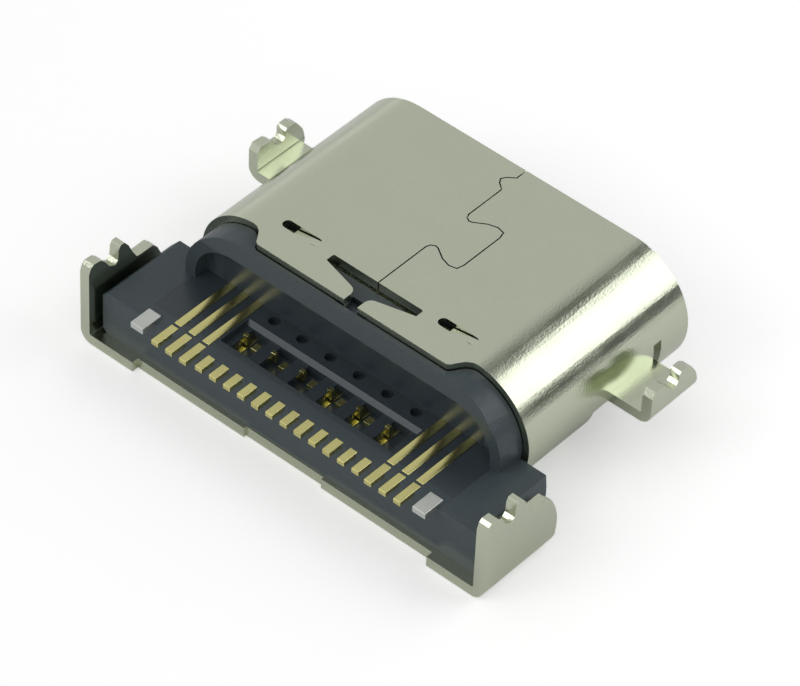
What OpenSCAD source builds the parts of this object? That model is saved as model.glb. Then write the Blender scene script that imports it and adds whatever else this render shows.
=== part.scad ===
// Mid-mount USB-C socket, lying with its solder side up.
// X runs across the mouth, Y runs from the tails to the mouth, Z is up.
// The origin is on the flat underside, at mid width, below the rear edge of the tube.

/* [Shell] */
// Width of the opening that takes the plug
open_w = 8.34; // [8.28:0.01:8.4]
// Height of the opening that takes the plug
open_h = 2.58; // [2.52:0.01:2.6]
// Thickness of the shell sheet
sheet_t = 0.25; // [0.2:0.01:0.3]
// Length of the tube, from its rear edge to the mouth
tube_l = 5.45; // [5.3:0.05:6.5]
// Step forward of the rear edge at the rounded sides
side_step = 0.42; // [0.3:0.01:0.5]
// Length across the socket over which the rear edge steps forward
step_run = 0.5; // [0.4:0.02:0.6]
// Half width of the rear edge between the two steps
rear_half_w = 2.52; // [2.3:0.01:2.6]

/* [Seam] */
// Width of the slit along the seam
seam_gap = 0.03; // [0.02:0.005:0.05]
// Start of the dovetail, measured from the rear edge
dove_y = 2.19; // [2.1:0.01:2.3]
// Reach of the dovetail to one side of the seam
dove_w = 0.92; // [0.8:0.02:1.1]
// Length of the dovetail at its neck
dove_neck = 1.06; // [1:0.02:1.2]
// Length of the dovetail at its head
dove_head = 1.54; // [1.46:0.02:1.62]
// Distance from the dovetail to the key beside the mouth
key_gap = 0.93; // [0.8:0.01:1]
// Length of the key
key_l = 0.48; // [0.4:0.02:0.52]
// Reach of the key to the other side of the seam
key_w = 0.23; // [0.15:0.01:0.3]
// Width of the cut-out at the rear end of the seam
notch_w = 2.4; // [2:0.05:2.8]
// Front edge of the cut-out, measured from the rear edge
notch_y = 0.84; // [0.8:0.01:1]
// Width of the mouth of the cut-out in the rear edge
notch_neck = 0.36; // [0.3:0.02:0.5]
// Front edge of the two lobes beside that mouth
lobe_y = 0.4; // [0.36:0.01:0.46]
// How much further forward the lobes reach at their roots
lobe_rise = 0.22; // [0.1:0.01:0.3]
// Radius of the lobes' tips
lobe_r = 0.2; // [0.1:0.01:0.24]

/* [Latch tangs] */
// Distance of the middle of a tang from mid width
tang_x = 2.09; // [2:0.01:2.2]
// Distance of a tang from the rear edge
tang_y = 0.87; // [0.8:0.01:1]
// Length of a tang
tang_l = 0.76; // [0.6:0.02:0.9]
// Width of a tang
tang_w = 0.24; // [0.2:0.01:0.3]
// Depth that a tang is pressed in
tang_dip = 0.11; // [0.06:0.01:0.16]

/* [Board] */
// Height of the board's face above the underside
board_z = 1.42; // [1.38:0.01:1.5]
// Thickness of the board that the prongs go through
board_t = 0.8; // [0.7:0.1:1]
// Distance of the prongs' tips below the board's far face
prong_in = 0.1; // [0.05:0.01:0.2]
// Depth of the notch between two prongs
prong_d = 0.3; // [0.25:0.01:0.35]

/* [Legs] */
// Distance between the outer faces of the legs, and of the arms
leg_span = 10.92; // [10.8:0.02:11.1]
// Rear end of a front leg, measured from the rear edge
leg_y = 2.98; // [2.8:0.02:3.1]
// Length of a front leg where it leaves the tube
leg_l = 1.36; // [1.32:0.02:1.44]
// Drop of the legs' prongs below those of the arms
leg_drop = 0.06; // [0:0.01:0.1]
// Outer radius of the bends
bend_r = 0.3; // [0.28:0.01:0.4]
// Length of the opening in the wall that a leg was cut from
leg_hole_l = 2.06; // [2:0.02:2.2]
// Gap between a leg's front end and the wall
leg_gap = 0.24; // [0.16:0.02:0.3]
// Reach of that gap above the board's face
leg_slot = 0.35; // [0.2:0.05:0.4]
// Reach of that opening in from the tube's side
leg_hole_w = 1.3; // [1.2:0.02:1.4]

/* [Floor plate] */
// Reach of the arms behind the rear edge
arm_back = 2.12; // [2:0.02:2.2]
// Reach of the arms in front of the rear edge
arm_front = 0.12; // [0.06:0.01:0.2]
// Half width of the plate's narrow rear edge
lug_x = 4; // [3.8:0.05:4.3]
// Reach of the plate behind the rear edge, between the lugs
plate_back = 1.95; // [1.9:0.01:2]
// Half width of the broken edge where the carrier strip was
break_x = 1.05; // [0.9:0.05:1.2]
// Step of the broken edge
break_step = 0.07; // [0.02:0.01:0.1]

/* [Moulded body] */
// Gap between the block's sides and the arms
arm_gap = 0.12; // [0.05:0.01:0.16]
// Reach of the block behind the rear edge
block_back = 1.84; // [1.8:0.01:1.9]
// Reach of the ears in front of the rear edge
ear_front = 0.33; // [0.3:0.01:0.38]
// Chamfer on the outer top edges of the block
block_cham = 0.13; // [0.08:0.01:0.18]
// Chamfer on the outer bottom edges of the block, clear of the arms' bends
foot_cham = 0.1; // [0.09:0.01:0.14]
// Chamfer on the ears' front corners
ear_cham = 0.14; // [0.1:0.01:0.2]
// Drop of the block's top below the board's face
block_drop = 0.02; // [0.01:0.01:0.04]
// Step between the outside of the tube and the collar
collar_in = 0.16; // [0.12:0.01:0.2]
// Reach of the collar behind the rear edge
collar_back = 0.26; // [0.2:0.01:0.3]
// Half width of the pocket in the collar
pocket_x = 3.98; // [3.8:0.02:4.05]
// Half height of the pocket in the collar
pocket_r = 1; // [0.9:0.01:1.05]
// Front face of the pocket, measured from the rear edge
pocket_y = 0.1; // [0.05:0.01:0.15]
// Lean of the collar's rear face at the top
collar_lean = 0.1; // [0.05:0.01:0.14]
// Half width of the key that fills the seam's cut-out from below
rib_x = 1.1; // [1:0.02:1.14]
// Clearance between that key and the front of the cut-out
rib_gap = 0.04; // [0.02:0.01:0.1]
// Front face of the wall behind the plug
wall_y = 0.7; // [0.68:0.01:0.74]
// Running clearance between moulded and metal pieces
fit_gap = 0.02; // [0.01:0.005:0.03]

/* [Contact carrier] */
// Half width of the carrier
carrier_x = 4.04; // [4.02:0.01:4.1]
// Half width of the carrier's neck through the wall
neck_x = 3.5; // [3.46:0.01:3.56]
// Rear end of the carrier behind the rear edge
carrier_back = 1.42; // [1.38:0.01:1.48]
// Underside of the carrier
carrier_z = 0.62; // [0.5:0.02:0.7]
// Half width of the window
window_x = 2.34; // [2.3:0.01:2.38]
// Rear edge of the window behind the rear edge of the tube
window_back = 1.27; // [1.2:0.01:1.3]
// Front edge of the window behind the rear edge of the tube
window_front = 0.5; // [0.45:0.01:0.55]
// Depth of the window down to its ribs
rib_drop = 0.14; // [0.1:0.01:0.16]
// Width of a rib between two cells
rib_w = 0.3; // [0.28:0.01:0.34]
// Depth of the cells
cell_d = 0.36; // [0.28:0.01:0.38]
// Diameter of the core pin holes
pin_d = 0.26; // [0.14:0.01:0.3]
// Distance of the core pin holes behind the pocket's front face
pin_back = 0.2; // [0.16:0.01:0.24]

/* [Tongue] */
// Width of the tongue
tongue_w = 6.69; // [6.6:0.01:6.8]
// Thickness of the tongue
tongue_t = 0.7; // [0.68:0.01:0.74]
// Set-back of the tongue's tip from the mouth
tongue_in = 0.65; // [0.5:0.05:1]
// Lead-in chamfer at the tongue's tip
tongue_cham = 0.15; // [0.1:0.01:0.2]
// Length of the thick root
root_l = 1.1; // [1:0.01:1.2]
// Thickness of the root
root_t = 1.3; // [1.24:0.02:1.4]
// Width of the root
root_w = 7.3; // [7.1:0.05:7.4]

/* [Contacts] */
// Pitch of the contacts on the tongue
contact_pitch = 0.5; // [0.49:0.01:0.51]
// Width of a contact on the tongue
contact_w = 0.26; // [0.22:0.01:0.28]
// Thickness of the contact sheet
contact_t = 0.12; // [0.1:0.01:0.13]
// Height of a contact's face above the tongue
contact_proud = 0.01; // [0:0.005:0.02]
// Set-back of a signal contact's end from the tongue's tip
signal_in = 0.95; // [0.8:0.05:1.2]
// Set-back of a power or ground contact's end from the tip
power_in = 0.6; // [0.4:0.05:0.7]
// Pitch of the solder tails
tail_pitch = 0.384; // [0.38:0.001:0.39]
// Width of a solder tail
tail_w = 0.19; // [0.16:0.01:0.2]
// Reach of the long tails behind the rear edge
long_back = 2.24; // [2.1:0.02:2.3]
// Length of a long tail's bare end
long_l = 0.62; // [0.5:0.01:0.66]
// Reach of the short tails behind the rear edge
short_back = 2.18; // [2.1:0.02:2.2]
// Length of a short tail's bare end
short_l = 0.42; // [0.4:0.01:0.5]
// Width of the moulded bar across a long contact
bar_l = 0.07; // [0.05:0.01:0.1]
// Distance of the cut tie bars behind the window's front edge
tie_back = 0.2; // [0.15:0.01:0.25]
// Length of a cut tie bar's flat end
tie_l = 0.18; // [0.1:0.01:0.2]
// Length of a cut tie bar's end that stands up
tie_up_l = 0.12; // [0.08:0.01:0.14]
// Depth that a contact dips under the bar
bar_dip = 0.06; // [0.05:0.005:0.07]

/* [Mid plate] */
// Thickness of the mid plate
mid_t = 0.15; // [0.12:0.01:0.16]
// Reach of the mid plate's latch edges past the tongue's sides
latch_out = 0.06; // [0.02:0.01:0.1]
// Distance from the tongue's tip to the latch notch
notch_in = 1.15; // [1:0.05:1.3]
// Length of the latch notch
notch_l = 0.75; // [0.6:0.05:0.9]
// Depth of the latch notch in the tongue's side
notch_d = 0.2; // [0.15:0.01:0.25]
// Width of a ground tail
ground_w = 0.34; // [0.3:0.01:0.4]
// Distance of a ground tail from mid width
ground_x = 3.8; // [3.76:0.01:3.9]
// Reach of the ground tails behind the rear edge
ground_back = 2.2; // [2.1:0.02:2.25]
// Height of the ground tails above the board's face
ground_proud = 0.07; // [0:0.01:0.08]

/* [Ground pads] */
// Thickness of a ground pad
pad_t = 0.1; // [0.08:0.01:0.12]
// Half width of a ground pad
pad_x = 3.2; // [3:0.05:3.3]

/* [Hidden] */
$fn = 48;
eps = 0.01;
shell_w = open_w + 2 * sheet_t;
shell_h = open_h + 2 * sheet_t;
mid_z = shell_h / 2;
leg_x = leg_span / 2;
block_x = leg_x - sheet_t - arm_gap;
block_z = board_z - block_drop;
tip_y = tube_l - tongue_in;
root_y = wall_y + root_l;
collar_r = shell_h / 2 - collar_in;
plug_r = open_h / 2 - fit_gap;
strip_z = board_z - contact_t;
upper_z = mid_z + tongue_t / 2 + contact_proud - contact_t;
lower_z = mid_z - tongue_t / 2 - contact_proud;
layer_gap = 0.05;
deep_z = mid_z - root_t / 2 + layer_gap;
run_z = deep_z + contact_t + layer_gap;
upper_drop_y = pocket_y + layer_gap;
lower_drop_y = upper_drop_y + contact_t + 1.5 * layer_gap;
cover = 0.04;
cell_pitch = 2 * tail_pitch;
jog_end = -0.02;
plate_rear_y = upper_drop_y + contact_t + layer_gap;
strip_tails = [6.5, 7.5, 8.5];

// ---- Plain tools ----

// A profile in X and Z, drawn out along Y from y0 to y1
module along_y(y0, y1) {
    translate([0, y1, 0]) rotate([90, 0, 0]) linear_extrude(y1 - y0) children();
}

// A profile in Y and Z, drawn out along X from x0 to x1
module along_x(x0, x1) {
    translate([x0, 0, 0]) rotate([90, 0, 90]) linear_extrude(x1 - x0) children();
}

// A box between two corners
module span(a, b) {
    translate(a) cube(b - a);
}

// Both sides of the socket
module both_sides() {
    children();
    mirror([1, 0, 0]) children();
}

// A bar with rounded sides along Y, w wide and h high over all, centred on the tube
module stadium(w, h, y0, y1) {
    translate([0, y0, mid_z]) {
        translate([-(w - h) / 2, 0, -h / 2]) cube([w - h, y1 - y0, h]);
        for (side = [-1, 1])
            translate([side * (w - h) / 2, 0, 0]) rotate([-90, 0, 0]) cylinder(d = h, h = y1 - y0);
    }
}

// ---- Shell ----

// The bend profile: flat at height z0 from x0, then up to z1 with its outer face at leg_x
module bend_profile(x0, z0, z1) {
    translate([x0, z0]) square([leg_x - bend_r - x0, sheet_t]);
    translate([leg_x - sheet_t, z0 + bend_r]) square([sheet_t, z1 - z0 - bend_r]);
    translate([leg_x - bend_r, z0 + bend_r]) intersection() {
        difference() {
            circle(r = bend_r);
            circle(r = bend_r - sheet_t);
        }
        translate([0, -bend_r]) square(bend_r);
    }
}

// A straight stretch of the seam's slit between two points
module slit(a, b) {
    run = b - a;
    translate([a[0], a[1], mid_z]) rotate([0, 0, atan2(run[1], run[0])])
        translate([-seam_gap / 2, -seam_gap / 2, 0]) cube([norm(run) + seam_gap, seam_gap, shell_h]);
}

// Slits along a row of points
module slits(points) {
    for (i = [1 : len(points) - 1])
        slit(points[i - 1], points[i]);
}

// The seam: straight, a dovetail to the right, straight, and a small key to the left
module seam() {
    neck0 = dove_y + (dove_head - dove_neck) / 2;
    neck1 = neck0 + dove_neck;
    head1 = dove_y + dove_head;
    key_y = head1 + key_gap;
    r = 0.13;
    slits([[0, notch_y - r], [0, neck0 - r], [r / 3, neck0 - r / 4], [r, neck0 + r / 8],
        [1.6 * r, neck0], [dove_w - 3.4 * r, dove_y + r / 2], [dove_w - 1.7 * r, dove_y],
        [dove_w - r / 3, dove_y + r / 3], [dove_w, dove_y + 1.6 * r], [dove_w, head1 - 1.6 * r],
        [dove_w - r / 3, head1 - r / 3], [dove_w - 1.7 * r, head1], [dove_w - 3.4 * r, head1 - r / 2],
        [1.6 * r, neck1], [r, neck1 - r / 8], [r / 3, neck1 + r / 4], [0, neck1 + r], [0, key_y],
        [r / 2 - key_w, key_y + r], [-key_w, key_y + key_l / 2], [r / 2 - key_w, key_y + key_l - r],
        [0, key_y + key_l], [0, tube_l + r]]);
}

// Half of the cut-out at the rear end of the seam: a slot in front of a lobe with a rounded tip
module half_notch() {
    x0 = notch_neck / 2;
    polygon(concat([[-eps, -eps], [x0, -eps]],
        [for (a = [180 : -15 : 105]) [x0 + lobe_r * (1 + cos(a)), lobe_y - lobe_r * (1 - sin(a))]],
        [[notch_w / 2, lobe_y + lobe_rise], [notch_w / 2, notch_y - 0.03],
            [notch_w / 2 - 0.03, notch_y], [-eps, notch_y]]));
}

module seam_notch() {
    translate([0, 0, mid_z]) linear_extrude(shell_h) {
        half_notch();
        mirror([1, 0]) half_notch();
    }
}

// A tang: a strip cut free on three sides and pressed in at one end
module tang_hole(x) {
    span([x - tang_l / 2, tang_y - tang_w / 2, mid_z], [x + tang_l / 2, tang_y + tang_w / 2, shell_h + eps]);
    for (side = [-1, 1])
        translate([x + side * tang_l / 2, tang_y, mid_z]) cylinder(d = tang_w, h = shell_h / 2 + eps);
}

module tang(x) {
    x0 = x - tang_l / 4;
    x1 = x + tang_l / 2 + tang_w / 2;
    along_y(tang_y - tang_w / 2 + seam_gap, tang_y + tang_w / 2 - seam_gap)
        polygon([[x1 + eps, shell_h], [x1 + eps, shell_h - sheet_t],
            [x0, shell_h - sheet_t - tang_dip], [x0, shell_h - tang_dip]]);
}

// The step of the rear edge in plan: all that lies behind it and outside x = rear_half_w
module step_2d(gap) {
    x0 = rear_half_w + gap;
    polygon([[x0, -1], [x0, -gap], [x0 + 0.14 * step_run, 0.1 * side_step - gap],
        [x0 + 0.32 * step_run, 0.45 * side_step - gap], [x0 + 0.5 * step_run, 0.75 * side_step - gap],
        [x0 + 0.75 * step_run, 0.95 * side_step - gap], [x0 + step_run, side_step - gap],
        [shell_w, side_step - gap], [shell_w, -1]]);
}

// The tube with its rear edge stepped at the rounded sides
module tube() {
    rear = eps;
    difference() {
        stadium(shell_w, shell_h, 0, tube_l);
        stadium(open_w, open_h, -rear, tube_l + rear);
        both_sides() translate([0, 0, -rear]) linear_extrude(shell_h + 2 * rear) step_2d(0);
        seam();
        seam_notch();
        for (side = [-1, 1])
            tang_hole(side * tang_x);
        both_sides() leg_hole();
    }
    for (side = [-1, 1])
        tang(side * tang_x);
}

// The opening in the side wall below a leg, and the slot at the leg's front end
module leg_hole() {
    y1 = leg_y + leg_l + leg_gap;
    low_y = y1 - leg_hole_l;
    x0 = shell_w / 2 - leg_hole_w;
    span([x0, low_y, -eps], [shell_w, y1, board_z - sheet_t]);
    span([x0, leg_y + leg_l, board_z - sheet_t - eps], [shell_w, y1, board_z + leg_slot]);
}

// A length kept to a hundredth of a millimetre
function hundredths(v) = round(100 * v) / 100;

// A front leg: out from the side wall under the board, then up through it in two prongs
module leg() {
    prong_z = board_z + board_t - prong_in - leg_drop;
    valley_z = prong_z - prong_d;
    end_l = leg_l + leg_gap / 2;
    mid_r = (shell_h - sheet_t) / 2;
    wall_x = hundredths((shell_w - shell_h) / 2 + sqrt(pow(mid_r, 2) - pow(board_z - mid_z, 2)));
    intersection() {
        along_y(leg_y, leg_y + end_l) bend_profile(wall_x, board_z - sheet_t, prong_z);
        union() {
            span([wall_x, leg_y, 0], [leg_x, leg_y + leg_l, board_z]);
            along_x(leg_x - sheet_t - eps, leg_x + eps)
                translate([leg_y, 0])
                    polygon([[0, 0], [0, prong_z - 0.14], [0.1, prong_z], [0.38, prong_z - 0.03],
                        [0.5, prong_z - 0.12], [0.57, valley_z + 0.06], [0.66, valley_z],
                        [0.78, valley_z], [0.86, valley_z + 0.08], [0.86, prong_z - 0.06],
                        [0.92, prong_z], [1.12, prong_z], [1.26, prong_z - 0.1],
                        [end_l - 0.06, prong_z - 0.34], [end_l, prong_z - 0.56],
                        [end_l, board_z - 0.06], [leg_l, board_z - sheet_t], [leg_l, 0]]);
        }
    }
}

// The floor plate behind the tube: a wide plate whose ends turn up into the arms
module floor_plate() {
    inner_x = leg_x - bend_r;
    linear_extrude(sheet_t) {
        difference() {
            translate([-inner_x, -arm_back]) square([2 * inner_x, arm_back]);
            translate([-lug_x, -arm_back - eps]) square([2 * lug_x, arm_back - plate_back + eps]);
            translate([-break_x, -plate_back - eps]) square([2 * break_x, break_step + eps]);
        }
        translate([-inner_x, -eps]) square([2 * inner_x, arm_front + eps - 0.05]);
        translate([-rear_half_w, -eps]) square([2 * rear_half_w, side_step + sheet_t]);
    }
}

// An arm: turned up from the floor plate, with two prongs and a shoulder under the board
module arm() {
    prong_z = board_z + board_t - prong_in;
    valley_z = prong_z - prong_d - 0.14;
    shoulder_z = board_z + 0.06;
    end_y = arm_back + arm_front;
    intersection() {
        along_y(-arm_back, arm_front) bend_profile(leg_x - bend_r - eps, 0, prong_z);
        along_x(leg_x - 2 * bend_r, leg_x + eps)
            translate([-arm_back, 0])
                polygon([[0, -eps], [0, prong_z - 0.22], [0.06, prong_z - 0.06], [0.14, prong_z],
                    [0.34, prong_z - 0.02], [0.46, prong_z - 0.12], [0.6, prong_z - 0.34],
                    [0.7, valley_z + 0.04], [0.78, valley_z], [0.86, valley_z + 0.08],
                    [0.88, prong_z - 0.1], [0.94, prong_z], [1.06, prong_z], [1.18, prong_z - 0.16],
                    [1.3, prong_z - 0.42], [1.42, shoulder_z + 0.02], [1.52, shoulder_z],
                    [end_y - 0.34, shoulder_z], [end_y - 0.2, shoulder_z - 0.14],
                    [end_y - 0.08, shoulder_z - 0.4], [end_y, shoulder_z - 0.7], [end_y, 0.5],
                    [end_y - 0.03, 0.28], [end_y - 0.14, 0.08], [end_y - 0.18, -eps]]);
    }
}

module shell() {
    color("#aeb4a0") {
        tube();
        both_sides() leg();
        floor_plate();
        both_sides() arm();
    }
}

// ---- Contacts ----

// Mating place of contact number n, counted from 1 to 12 across the tongue
function mate_x(n) = (n - 6.5) * contact_pitch;
// Tail place number k, counted in halves from mid width
function tail_x(k) = k * tail_pitch;

// A flat stretch whose centre moves from xa at ya to xb at yb, at height z
module jog(xa, ya, xb, yb, wa, wb, z) {
    translate([0, 0, z]) linear_extrude(contact_t)
        polygon([[xa - wa / 2, ya], [xa + wa / 2, ya], [xb + wb / 2, yb], [xb - wb / 2, yb]]);
}

// A straight stretch of contact sheet at x, between two Y places, at height z
module strip(x, y0, y1, w, z) {
    span([x - w / 2, y0, z], [x + w / 2, y1, z + contact_t]);
}

// An upright stretch of contact sheet whose rear face is at y
module riser(x, y, w, z0, z1) {
    span([x - w / 2, y, z0], [x + w / 2, y + contact_t, z1]);
}

// The bare end of a contact on the tongue, with its tip bent into the moulding
module mating_end(x, y0, setback, z) {
    strip(x, y0, tip_y - setback, contact_w, z);
}

// A long contact: over the tongue, down behind the wall, along the block and out as a tail
module strip_contact(n) {
    side = n > 6 ? 1 : -1;
    order = n > 6 ? n - 9 : 4 - n;
    xm = mate_x(n);
    xt = side * tail_x(strip_tails[order]);
    setback = order == 0 ? power_in : signal_in;
    jog0 = wall_y;
    jog1 = root_y - 0.3;
    color("#c9b458") {
        mating_end(xm, jog1, setback, upper_z);
        jog(xm, jog1, xt, jog0, contact_w, tail_w, upper_z);
        strip(xt, upper_drop_y, jog0, tail_w, upper_z);
        riser(xt, upper_drop_y, tail_w, strip_z, upper_z + contact_t);
        difference() {
            strip(xt, -long_back, upper_drop_y + contact_t, tail_w, strip_z);
            span([xt - tail_w, -long_back + long_l, board_z - bar_dip],
                [xt + tail_w, -long_back + long_l + bar_l, board_z + eps]);
        }
    }
}

// The end of a short contact: a joggle under the block's top and the bare tail
module short_tail(x) {
    start = -short_back + short_l;
    strip(x, -short_back, start, tail_w, strip_z);
    strip(x, start - cover, start + 2 * contact_t, tail_w, strip_z - cover);
}

// An upper contact that crosses the window inside a rib
module window_contact(n) {
    side = n > 6 ? 1 : -1;
    order = n > 6 ? n - 7 : 6 - n;
    xm = mate_x(n);
    xt = side * tail_x(1.5 + 2 * order);
    rise = -short_back + short_l + contact_t;
    color("#c9b458") {
        mating_end(xm, lower_drop_y + contact_t, signal_in, upper_z);
        strip(xm, upper_drop_y, lower_drop_y + contact_t, tail_w, upper_z);
        riser(xm, upper_drop_y, tail_w, run_z, upper_z + contact_t);
        jog(xm, upper_drop_y + contact_t, rib_at(n), jog_end, tail_w, tail_w, run_z);
        strip(rib_at(n), -window_back, jog_end, tail_w, run_z);
        jog(rib_at(n), -window_back, xt, rise, tail_w, tail_w, run_z);
        riser(xt, rise, tail_w, run_z, strip_z - cover + contact_t);
        short_tail(xt);
        tie_bar(rib_at(n));
    }
}

// Place of the rib that covers contact number n in the window
function rib_at(n) = (n - 7) * cell_pitch;

// What is left of the tie bar beside a contact: one end flat, one end standing up
module tie_bar(x) {
    y1 = -window_front - tie_back;
    strip(x - tie_l / 2, y1 - tail_w, y1, rib_w + tie_l, run_z);
    span([x, y1 - tail_w / 2, run_z], [x + rib_w / 2 + tie_up_l, y1, run_z + contact_t]);
    span([x + rib_w / 2, y1 - tail_w / 2, run_z], [x + rib_w / 2 + tie_up_l, y1, block_z - cover]);
}

// A lower contact, which runs deep in the carrier to a short tail
module deep_contact(n) {
    xm = mate_x(n);
    side = n > 6 ? 1 : -1;
    order = n > 6 ? n - 7 : 6 - n;
    xt = side * tail_x(order < 2 ? 0.5 + 2 * order : order + 1.5);
    rise = -short_back + short_l + contact_t;
    color("#c9b458") {
        mating_end(xm, lower_drop_y, signal_in, lower_z);
        riser(xm, lower_drop_y, contact_w, deep_z, lower_z + contact_t);
        jog(xm, lower_drop_y, xt, jog_end, contact_w, tail_w, deep_z);
        strip(xt, rise, jog_end, tail_w, deep_z);
        riser(xt, rise, tail_w, deep_z, strip_z - cover + contact_t);
        short_tail(xt);
    }
}

// A lower power contact, which ends in the window against the upper power contact
module power_contact(n) {
    side = n > 6 ? 1 : -1;
    xm = mate_x(n);
    xw = rib_at(n);
    xt = side * tail_x(strip_tails[0]);
    knee = -window_back - 0.01;
    color("#c9b458") {
        mating_end(xm, lower_drop_y, power_in, lower_z);
        riser(xm, lower_drop_y, contact_w, run_z, lower_z + contact_t);
        jog(xm, lower_drop_y, xw, jog_end, contact_w, tail_w, run_z);
        strip(xw, knee, jog_end, tail_w, run_z);
        strip((xw + xt) / 2, knee - contact_t, knee + eps, abs(xt - xw) + tail_w, run_z);
        riser(xt, knee - contact_t, tail_w, run_z, strip_z);
        tie_bar(xw);
    }
}

// A ground contact, bent on to the mid plate inside the root
module ground_contact(n, upper) {
    bend_y = root_y - 0.2;
    z = upper ? upper_z : lower_z;
    z0 = upper ? mid_z + mid_t / 2 : lower_z;
    z1 = upper ? upper_z + contact_t : mid_z - mid_t / 2;
    color("#c9b458") {
        mating_end(mate_x(n), bend_y, power_in, z);
        riser(mate_x(n), bend_y, contact_w, z0, z1);
    }
}

// ---- Mid plate and ground pads ----

// The ground plate between the two rows, with a tail at each side
module mid_plate() {
    z0 = mid_z - mid_t / 2;
    half = tongue_w / 2 + latch_out;
    color("#b9bdb4") {
        translate([0, 0, z0]) linear_extrude(mid_t) difference() {
            translate([-half, plate_rear_y]) square([2 * half, tip_y - tongue_cham - plate_rear_y]);
            for (side = [-1, 1])
                translate([side * half - notch_d / 2, tip_y - notch_in - notch_l]) square([notch_d, notch_l]);
        }
        both_sides() ground_tail(z0);
    }
}

// A ground tail: out from the plate's side, down, back through the block, and up to its pad
module ground_tail(z0) {
    x0 = ground_x - ground_w / 2;
    x1 = x0 + ground_w;
    top = board_z + ground_proud;
    low = top - 2 * mid_t - cover;
    rise = -block_back + mid_t + layer_gap;
    span([tongue_w / 2, plate_rear_y, z0], [x1, plate_rear_y + 2 * mid_t, z0 + mid_t]);
    span([x0, plate_rear_y, low], [x1, plate_rear_y + mid_t, z0 + mid_t]);
    span([x0, rise - mid_t, low], [x1, plate_rear_y + mid_t, low + mid_t]);
    span([x0, rise - mid_t, low], [x1, rise, top]);
    span([x0, -ground_back, top - mid_t], [x1, rise, top]);
}

// A ground pad on one face of the root
module ground_pad(z0) {
    color("#b9bdb4") {
        span([-pad_x, wall_y, z0], [pad_x, root_y - 0.05, z0 + pad_t]);
    }
}

module upper_ground_pad() {
    ground_pad(mid_z + root_t / 2);
}

module lower_ground_pad() {
    ground_pad(mid_z - root_t / 2 - pad_t);
}

// ---- All metal that the mouldings hold ----

module upper_contacts() {
    for (n = [2, 3, 4, 9, 10, 11])
        strip_contact(n);
    for (n = [5, 6, 7, 8])
        window_contact(n);
    for (n = [1, 12])
        ground_contact(n, true);
}

module lower_contacts() {
    for (n = [2, 3, 5, 6, 7, 8, 10, 11])
        deep_contact(n);
    for (n = [4, 9])
        power_contact(n);
    for (n = [1, 12])
        ground_contact(n, false);
}

module held_metal() {
    upper_contacts();
    lower_contacts();
    mid_plate();
}

// ---- Contact carrier: the first moulding, with the tongue ----

module tongue() {
    difference() {
        along_x(-tongue_w / 2, tongue_w / 2)
            polygon([[wall_y, mid_z - tongue_t / 2], [wall_y, mid_z + tongue_t / 2],
                [tip_y - tongue_cham, mid_z + tongue_t / 2], [tip_y, mid_z + tongue_t / 2 - tongue_cham],
                [tip_y, mid_z - tongue_t / 2 + tongue_cham], [tip_y - tongue_cham, mid_z - tongue_t / 2]]);
        both_sides() span([tongue_w / 2 - notch_d, tip_y - notch_in - notch_l, 0],
            [tongue_w / 2 + eps, tip_y - notch_in, shell_h]);
    }
}

module carrier_body() {
    tongue();
    // Root
    span([-root_w / 2, wall_y - eps, mid_z - root_t / 2], [root_w / 2, root_y, mid_z + root_t / 2]);
    // Neck through the wall
    span([-neck_x, pocket_y - eps, carrier_z], [neck_x, wall_y, mid_z + root_t / 2]);
    // Insert in the block
    span([-carrier_x, -carrier_back, carrier_z], [carrier_x, pocket_y, block_z]);
}

// The window: a shallow pan with six deeper cells
module window() {
    rim = 0.1;
    along_x(-window_x, window_x)
        polygon([[-window_back, block_z - rib_drop], [-window_back, block_z + eps],
            [-window_front + rim, block_z + eps], [-window_front + rim, block_z],
            [-window_front, block_z - rim], [-window_front, block_z - rib_drop]]);
    for (k = [-2.5 : 1 : 2.5])
        span([k * cell_pitch - (cell_pitch - rib_w) / 2, -window_back, block_z - cell_d],
            [k * cell_pitch + (cell_pitch - rib_w) / 2, -window_front, block_z]);
}

// The holes that the core pins left over the buried contacts
module pin_holes() {
    for (k = [-2.5 : 1 : 2.5])
        translate([k * cell_pitch, pocket_y - pin_back, run_z + contact_t])
            cylinder(d = pin_d, h = block_z - run_z);
}

module contact_carrier() {
    color("#3a4450")
        difference() {
            carrier_body();
            window();
            pin_holes();
            held_metal();
        }
}

// ---- Housing: the second moulding, with the collar and the ears ----

// The block under the board, with its outer top edges chamfered
module block() {
    difference() {
        block_bar();
        both_sides() translate([block_x, ear_front, -eps]) rotate([0, 0, 45])
            cube([ear_cham * sqrt(2), ear_cham * sqrt(2), 2 * shell_h], center = true);
    }
}

module block_bar() {
    along_y(-block_back, ear_front)
        polygon([[-block_x + foot_cham, sheet_t], [block_x - foot_cham, sheet_t],
            [block_x, sheet_t + foot_cham], [block_x, block_z - block_cham],
            [block_x - block_cham, block_z], [-block_x + block_cham, block_z],
            [-block_x, block_z - block_cham], [-block_x, sheet_t + foot_cham]]);
}

// The collar: a flange that fills the step behind the tube, and a plug inside the tube
module collar() {
    flange_w = shell_w - 2 * collar_in;
    difference() {
        stadium(flange_w, 2 * collar_r, -collar_back, -fit_gap);
        span([-shell_w, -collar_back - eps, -eps], [shell_w, side_step, sheet_t]);
    }
    intersection() {
        stadium(flange_w, 2 * collar_r, -collar_back, side_step);
        both_sides() linear_extrude(shell_h) step_2d(fit_gap);
    }
    stadium(open_w - 2 * fit_gap, 2 * plug_r, -collar_back + 0.05, wall_y);
    // The key that fills the seam's cut-out from below
    span([-rib_x, wall_y - eps, mid_z + root_t / 2 + pad_t + fit_gap],
        [rib_x, notch_y - rib_gap, mid_z + plug_r]);
}

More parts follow.
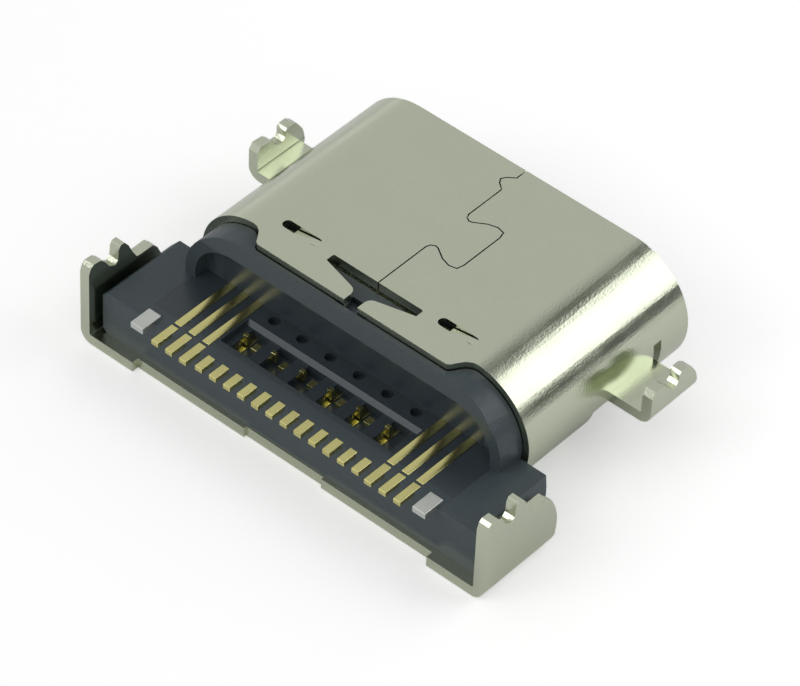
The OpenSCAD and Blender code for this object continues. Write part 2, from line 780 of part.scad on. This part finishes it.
// The hollow in the collar behind the mouth of the cut-out
module mouth_hollow() {
    span([-lobe_y, -fit_gap - eps, mid_z + pocket_r + sheet_t / 2], [lobe_y, lobe_y, shell_h]);
}

// The pocket in the collar, above the block
module pocket() {
    difference() {
        stadium(2 * pocket_x, 2 * pocket_r, -collar_back - eps, pocket_y);
        span([-shell_w, -1, -eps], [shell_w, 1, block_z]);
    }
}

// What takes the rear face of the collar back at the top
module lean_cut() {
    top = mid_z + collar_r;
    along_x(-shell_w / 2, shell_w / 2)
        polygon([[-collar_back - eps, top - 0.42], [-collar_back - eps, top + eps],
            [-collar_back + collar_lean, top + eps], [-collar_back, top - 0.42]]);
}

// The housing: the block and the collar, moulded round the carrier
module housing() {
    color("#333d47")
        difference() {
            union() {
                block();
                collar();
            }
            pocket();
            mouth_hollow();
            lean_cut();
            carrier_body();
            held_metal();
            span([-shell_w, -block_back - eps, -eps], [shell_w, wall_y, sheet_t]);
        }
}

// ---- The socket ----

shell();
housing();
contact_carrier();
mid_plate();
upper_ground_pad();
lower_ground_pad();
for (n = [2, 3, 4, 9, 10, 11])
    strip_contact(n);
for (n = [5, 6, 7, 8])
    window_contact(n);
for (n = [1, 12])
    ground_contact(n, true);
for (n = [2, 3, 5, 6, 7, 8, 10, 11])
    deep_contact(n);
for (n = [4, 9])
    power_contact(n);
for (n = [1, 12])
    ground_contact(n, false);
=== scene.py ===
# ---- Studio ----
# The socket lies on its flat underside on a pale table in soft white light.
# The camera looks down on the solder side from behind the tails and from the +X side.
import math

import bmesh
import bpy
from mathutils import Matrix, Vector


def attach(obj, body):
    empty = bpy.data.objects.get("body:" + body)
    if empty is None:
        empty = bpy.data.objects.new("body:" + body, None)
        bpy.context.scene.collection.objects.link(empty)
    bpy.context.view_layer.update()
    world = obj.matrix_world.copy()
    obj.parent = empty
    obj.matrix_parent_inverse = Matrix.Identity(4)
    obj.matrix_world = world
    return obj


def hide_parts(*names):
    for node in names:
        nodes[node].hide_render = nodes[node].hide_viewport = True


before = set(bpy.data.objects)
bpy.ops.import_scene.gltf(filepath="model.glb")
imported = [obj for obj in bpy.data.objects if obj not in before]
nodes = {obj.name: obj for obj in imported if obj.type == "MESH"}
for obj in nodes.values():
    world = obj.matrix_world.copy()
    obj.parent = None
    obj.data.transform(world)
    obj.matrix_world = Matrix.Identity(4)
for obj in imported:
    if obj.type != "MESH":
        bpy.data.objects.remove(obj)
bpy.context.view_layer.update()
mm = 0.001
scene = bpy.context.scene
scene.view_settings.view_transform = "Standard"

# The camera: turned and raised from straight behind the tails, and tilted about its own axis, in radians
camera_turn = 0.685
camera_height = 0.768
camera_tilt = 0.05
camera_place = (46.06, -54.76, 71.15)
camera_lens = 222.5
back = Vector((math.sin(camera_turn) * math.cos(camera_height),
               -math.cos(camera_turn) * math.cos(camera_height), math.sin(camera_height)))
level = Vector((math.cos(camera_turn), math.sin(camera_turn), 0))
rise = back.cross(level)
right = level * math.cos(camera_tilt) + rise * math.sin(camera_tilt)
upright = rise * math.cos(camera_tilt) - level * math.sin(camera_tilt)
camera_data = bpy.data.cameras.new("camera")
camera_data.sensor_width = 36
camera_data.lens = camera_lens
camera_data.clip_start = 0.001
camera_data.clip_end = 10
camera = bpy.data.objects.new("camera", camera_data)
camera.matrix_world = Matrix.Translation(Vector(camera_place) * mm) @ \
    Matrix((right, upright, back)).transposed().to_4x4()
scene.collection.objects.link(camera)
scene.camera = camera


def soft_box(name, place, size, watts):
    """A flat lamp at place, in millimetres, turned to face the origin."""
    data = bpy.data.lights.new(name, "AREA")
    data.shape = "RECTANGLE"
    data.size, data.size_y = size[0] * mm, size[1] * mm
    data.energy = watts
    lamp = bpy.data.objects.new(name, data)
    aim = -Vector(place).normalized()
    lamp.matrix_world = Matrix.Translation(Vector(place) * mm) @ \
        aim.to_track_quat("-Z", "Y").to_matrix().to_4x4()
    scene.collection.objects.link(lamp)


key_way = Vector((0.49, 0.63, 0.60)).normalized()
key_distance = 70
soft_box("key_lamp", key_way * key_distance, (60, 46), 0.0165)
soft_box("fill_lamp", (-30, -65, 60), (44, 44), 0.011)

# The room: brighter walls low down, a plain grey ceiling, and a dark surround of the key lamp
wall_strength = 0.78
ceiling_strength = 0.62
surround_strength = 0.12
world = bpy.data.worlds.new("white_room")
scene.world = world
world.use_nodes = True
links = world.node_tree.links
tree = world.node_tree.nodes
tree.clear()
path = tree.new("ShaderNodeLightPath")
seen = tree.new("ShaderNodeBackground")
seen.inputs["Color"].default_value = (1, 1, 1, 1)
seen.inputs["Strength"].default_value = 1.0
lit = tree.new("ShaderNodeBackground")
lit.inputs["Color"].default_value = (1, 1, 1, 1)
way = tree.new("ShaderNodeTexCoord")
split = tree.new("ShaderNodeSeparateXYZ")
links.new(way.outputs["Generated"], split.inputs["Vector"])
height = tree.new("ShaderNodeMapRange")
height.interpolation_type = "SMOOTHSTEP"
height.inputs["From Min"].default_value = 0.05
height.inputs["From Max"].default_value = 0.35
height.inputs["To Min"].default_value = wall_strength
height.inputs["To Max"].default_value = ceiling_strength
links.new(split.outputs["Z"], height.inputs["Value"])
near = tree.new("ShaderNodeVectorMath")
near.operation = "DOT_PRODUCT"
near.inputs[1].default_value = key_way
links.new(way.outputs["Generated"], near.inputs[0])
surround = tree.new("ShaderNodeMapRange")
surround.interpolation_type = "SMOOTHSTEP"
surround.inputs["From Min"].default_value = 0.62
surround.inputs["From Max"].default_value = 0.86
surround.inputs["To Min"].default_value = 1.0
surround.inputs["To Max"].default_value = surround_strength
links.new(near.outputs["Value"], surround.inputs["Value"])
room = tree.new("ShaderNodeMath")
room.operation = "MULTIPLY"
links.new(height.outputs["Result"], room.inputs[0])
links.new(surround.outputs["Result"], room.inputs[1])
links.new(room.outputs["Value"], lit.inputs["Strength"])
pick = tree.new("ShaderNodeMixShader")
out = tree.new("ShaderNodeOutputWorld")
links.new(path.outputs["Is Camera Ray"], pick.inputs["Fac"])
links.new(lit.outputs[0], pick.inputs[1])
links.new(seen.outputs[0], pick.inputs[2])
links.new(pick.outputs[0], out.inputs["Surface"])

# The table: a matt plate in metres, just below the socket, with a little light of its own for the camera
floor_mesh = bpy.data.meshes.new("floor")
floor_half = 2.0
floor_z = -0.00001
table_tone = 0.9
table_lift = 0.36
floor_mesh.from_pydata([(-floor_half, -floor_half, floor_z), (floor_half, -floor_half, floor_z),
                        (floor_half, floor_half, floor_z), (-floor_half, floor_half, floor_z)],
                       [], [(0, 1, 2, 3)])
floor = bpy.data.objects.new("floor", floor_mesh)
scene.collection.objects.link(floor)
floor_mat = bpy.data.materials.new("white_table")
floor_mat.use_nodes = True
tree = floor_mat.node_tree.nodes
links = floor_mat.node_tree.links
tree.clear()
table = tree.new("ShaderNodeBsdfDiffuse")
table.inputs["Color"].default_value = (table_tone, table_tone, table_tone, 1)
lift = tree.new("ShaderNodeEmission")
lift.inputs["Color"].default_value = (1, 1, 1, 1)
path = tree.new("ShaderNodeLightPath")
amount = tree.new("ShaderNodeMath")
amount.operation = "MULTIPLY"
amount.inputs[1].default_value = table_lift
links.new(path.outputs["Is Camera Ray"], amount.inputs[0])
links.new(amount.outputs["Value"], lift.inputs["Strength"])
both = tree.new("ShaderNodeAddShader")
out = tree.new("ShaderNodeOutputMaterial")
links.new(table.outputs[0], both.inputs[0])
links.new(lift.outputs[0], both.inputs[1])
links.new(both.outputs[0], out.inputs["Surface"])
floor_mesh.materials.append(floor_mat)


# ---- Shell ----
# The shell is one blank of nickel-plated steel, 0.25 mm thick, folded round a mandrel.
# A dovetail locks its seam on the solder side, and the floor runs back into the plate with the arms.

# Sizes in millimetres: the axis of each rounded side, and the radii of its outer and inner faces
bend_centre_x = 2.88
bend_centre_z = 1.54
bend_outer = 1.54
bend_inner = 1.29
bend_slack = 0.012
side_slack = 0.01
ring_slack = 0.03
end_tilt = 0.1
shell_edge = 0.025
weld_reach = 0.0005
# Angles in degrees: neighbours that count as one flat, steps of a bend, and edges that are left sharp
flat_angle = 0.3
arc_step = 3
soft_angle = 28
eased_angle = 30
# Plating: depth of its grain and size of its clouds in millimetres, and how far its shade
# and its roughness wander
grain_depth = 0.004
cloud_size = 0.9
grain_shade = 0.93
least_rough, most_rough = 0.8, 1.25


def plain_copy(node):
    """The node's triangles as a merged mesh, with flat neighbours joined into larger faces."""
    bm = bmesh.new()
    bm.from_mesh(nodes[node].data)
    bmesh.ops.remove_doubles(bm, verts=bm.verts, dist=weld_reach * mm)
    bmesh.ops.dissolve_limit(bm, angle_limit=math.radians(flat_angle), verts=bm.verts, edges=bm.edges)
    return bm


def finish_piece(node, name, material, edge, bm=None):
    """Makes the piece that stands for a node: smooth across gentle bends, its sharp edges eased by edge mm."""
    if bm is None:
        bm = plain_copy(node)
    mesh = bpy.data.meshes.new(name)
    bm.to_mesh(mesh)
    bm.free()
    mesh.shade_smooth()
    mesh.set_sharp_from_angle(angle=math.radians(soft_angle))
    mesh.materials.clear()
    mesh.materials.append(material)
    piece = bpy.data.objects.new(name, mesh)
    scene.collection.objects.link(piece)
    ease = piece.modifiers.new("eased_edges", "BEVEL")
    ease.width = edge * mm
    ease.segments = 2
    ease.limit_method = "ANGLE"
    ease.angle_limit = math.radians(eased_angle)
    ease.harden_normals = True
    ease.use_clamp_overlap = True
    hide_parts(node)
    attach(piece, "root")


def metal(name, colour, roughness, grain, grain_size):
    """Plated sheet: a pebbled bump grain_size mm across, and gloss that wanders about roughness."""
    mat = bpy.data.materials.new(name)
    mat.use_nodes = True
    t = mat.node_tree
    shader = t.nodes["Principled BSDF"]
    shader.inputs["Metallic"].default_value = 1.0
    coords = t.nodes.new("ShaderNodeTexCoord")
    fine = t.nodes.new("ShaderNodeTexNoise")
    fine.inputs["Scale"].default_value = 1 / (grain_size * mm)
    fine.inputs["Detail"].default_value = 3
    t.links.new(coords.outputs["Object"], fine.inputs["Vector"])
    broad = t.nodes.new("ShaderNodeTexNoise")
    broad.inputs["Scale"].default_value = 1 / (cloud_size * mm)
    broad.inputs["Detail"].default_value = 2
    t.links.new(coords.outputs["Object"], broad.inputs["Vector"])
    tone = t.nodes.new("ShaderNodeMapRange")
    tone.inputs["From Min"].default_value = 0.3
    tone.inputs["From Max"].default_value = 0.7
    tone.inputs["To Min"].default_value = roughness * least_rough
    tone.inputs["To Max"].default_value = roughness * most_rough
    t.links.new(broad.outputs["Fac"], tone.inputs["Value"])
    t.links.new(tone.outputs["Result"], shader.inputs["Roughness"])
    shade = t.nodes.new("ShaderNodeMix")
    shade.data_type = "RGBA"
    shade.inputs["A"].default_value = (*[c * grain_shade for c in colour], 1)
    shade.inputs["B"].default_value = (*colour, 1)
    t.links.new(fine.outputs["Fac"], shade.inputs["Factor"])
    t.links.new(shade.outputs["Result"], shader.inputs["Base Color"])
    bump = t.nodes.new("ShaderNodeBump")
    bump.inputs["Strength"].default_value = grain
    bump.inputs["Distance"].default_value = grain_depth * mm
    t.links.new(fine.outputs["Fac"], bump.inputs["Height"])
    t.links.new(bump.outputs["Normal"], shader.inputs["Normal"])
    return mat


def round_bends(bm):
    """Cuts the facets of both rounded sides every 3 degrees, and puts a point that lies off its arc at
    centre + radius x its direction from the axis."""
    for side in (-1, 1):
        centre = Vector((side * bend_centre_x, 0, bend_centre_z)) * mm
        arcs = [face for face in bm.faces if abs(face.normal.y) < end_tilt and all(
            side * (v.co.x - centre.x) > -side_slack * mm
            and bend_inner - ring_slack < math.hypot(v.co.x - centre.x, v.co.z - centre.z) / mm
            < bend_outer + side_slack
            for v in face.verts)]
        for step in range(1, 180 // arc_step):
            turn = math.radians(arc_step * step)
            cut = Vector((math.cos(turn), 0, -math.sin(turn) * side))
            arcs = [face for face in arcs if face.is_valid]
            edges = dict.fromkeys(edge for face in arcs for edge in face.edges)
            verts = dict.fromkeys(vert for face in arcs for vert in face.verts)
            done = bmesh.ops.bisect_plane(bm, geom=arcs + list(edges) + list(verts), dist=0.0001 * mm,
                                          plane_co=centre, plane_no=cut)
            faces = [item for item in done["geom"] if isinstance(item, bmesh.types.BMFace)]
            arcs = list(dict.fromkeys(arcs + faces))
        for vert in bm.verts:
            arm = Vector((vert.co.x - centre.x, 0, vert.co.z - centre.z))
            if side * arm.x < 0:
                continue
            for radius in (bend_outer, bend_inner):
                if abs(arm.length / mm - radius) < bend_slack:
                    arm.length = radius * mm
                    vert.co.x, vert.co.z = centre.x + arm.x, centre.z + arm.z


nickel = metal("nickel_plate", (0.64, 0.68, 0.54), 0.2, 0.75, 0.05)
blank = plain_copy("shell")
round_bends(blank)
finish_piece("shell", "folded_shell", nickel, shell_edge, blank)

# ---- Mouldings ----
# The carrier is moulded round the contacts, with the tongue at its front and the window in its block.
# The housing is moulded over it from the same dark resin, and its collar holds the shell's rear edge.
housing_edge = 0.03
carrier_edge = 0.015
# Resin: size and depth of its grain in millimetres, the bump's strength, and its darkest and lightest shade
resin_grain = 0.06
resin_depth = 0.005
resin_bump = 0.4
dark_shade, light_shade = 0.8, 1.2


def plastic(name, colour, roughness):
    """Moulded resin: a fine grain in its bump, and a tone that wanders between the two shades."""
    mat = bpy.data.materials.new(name)
    mat.use_nodes = True
    t = mat.node_tree
    shader = t.nodes["Principled BSDF"]
    coords = t.nodes.new("ShaderNodeTexCoord")
    fine = t.nodes.new("ShaderNodeTexNoise")
    fine.inputs["Scale"].default_value = 1 / (resin_grain * mm)
    fine.inputs["Detail"].default_value = 4
    t.links.new(coords.outputs["Object"], fine.inputs["Vector"])
    shade = t.nodes.new("ShaderNodeMix")
    shade.data_type = "RGBA"
    shade.inputs["A"].default_value = (*[c * dark_shade for c in colour], 1)
    shade.inputs["B"].default_value = (*[c * light_shade for c in colour], 1)
    t.links.new(fine.outputs["Fac"], shade.inputs["Factor"])
    t.links.new(shade.outputs["Result"], shader.inputs["Base Color"])
    shader.inputs["Roughness"].default_value = roughness
    bump = t.nodes.new("ShaderNodeBump")
    bump.inputs["Strength"].default_value = resin_bump
    bump.inputs["Distance"].default_value = resin_depth * mm
    t.links.new(fine.outputs["Fac"], bump.inputs["Height"])
    t.links.new(bump.outputs["Normal"], shader.inputs["Normal"])
    return mat


resin = plastic("housing_resin", (0.048, 0.066, 0.075), 0.38)
carrier_resin = plastic("carrier_resin", (0.036, 0.049, 0.058), 0.3)
finish_piece("housing", "moulded_housing", resin, housing_edge)
finish_piece("contact_carrier", "moulded_carrier", carrier_resin, carrier_edge)

# ---- Contacts ----
# 24 contacts are stamped from copper alloy strip and plated with gold, and the carrier grips them.
# Their bare ends lie on the tongue, and their tails stand in one row behind the block.
contact_edge = 0.012
gold = metal("gold_plate", (0.76, 0.71, 0.30), 0.25, 0.3, 0.05)
for node in nodes:
    if "_contact_" in node:
        finish_piece(node, node + "_strip", gold, contact_edge)

# ---- Ground plate and pads ----
# The ground plate lies between the two rows of contacts, and its two tails end the row of tails.
# A thin pad lies on each face of the tongue's root. All three are tinned steel, held by the carrier.
plate_edge = 0.015
tin = metal("tin_plate", (0.72, 0.74, 0.70), 0.4, 0.4, 0.05)
for node in ("mid_plate", "upper_ground_pad", "lower_ground_pad"):
    finish_piece(node, node + "_sheet", tin, plate_edge)
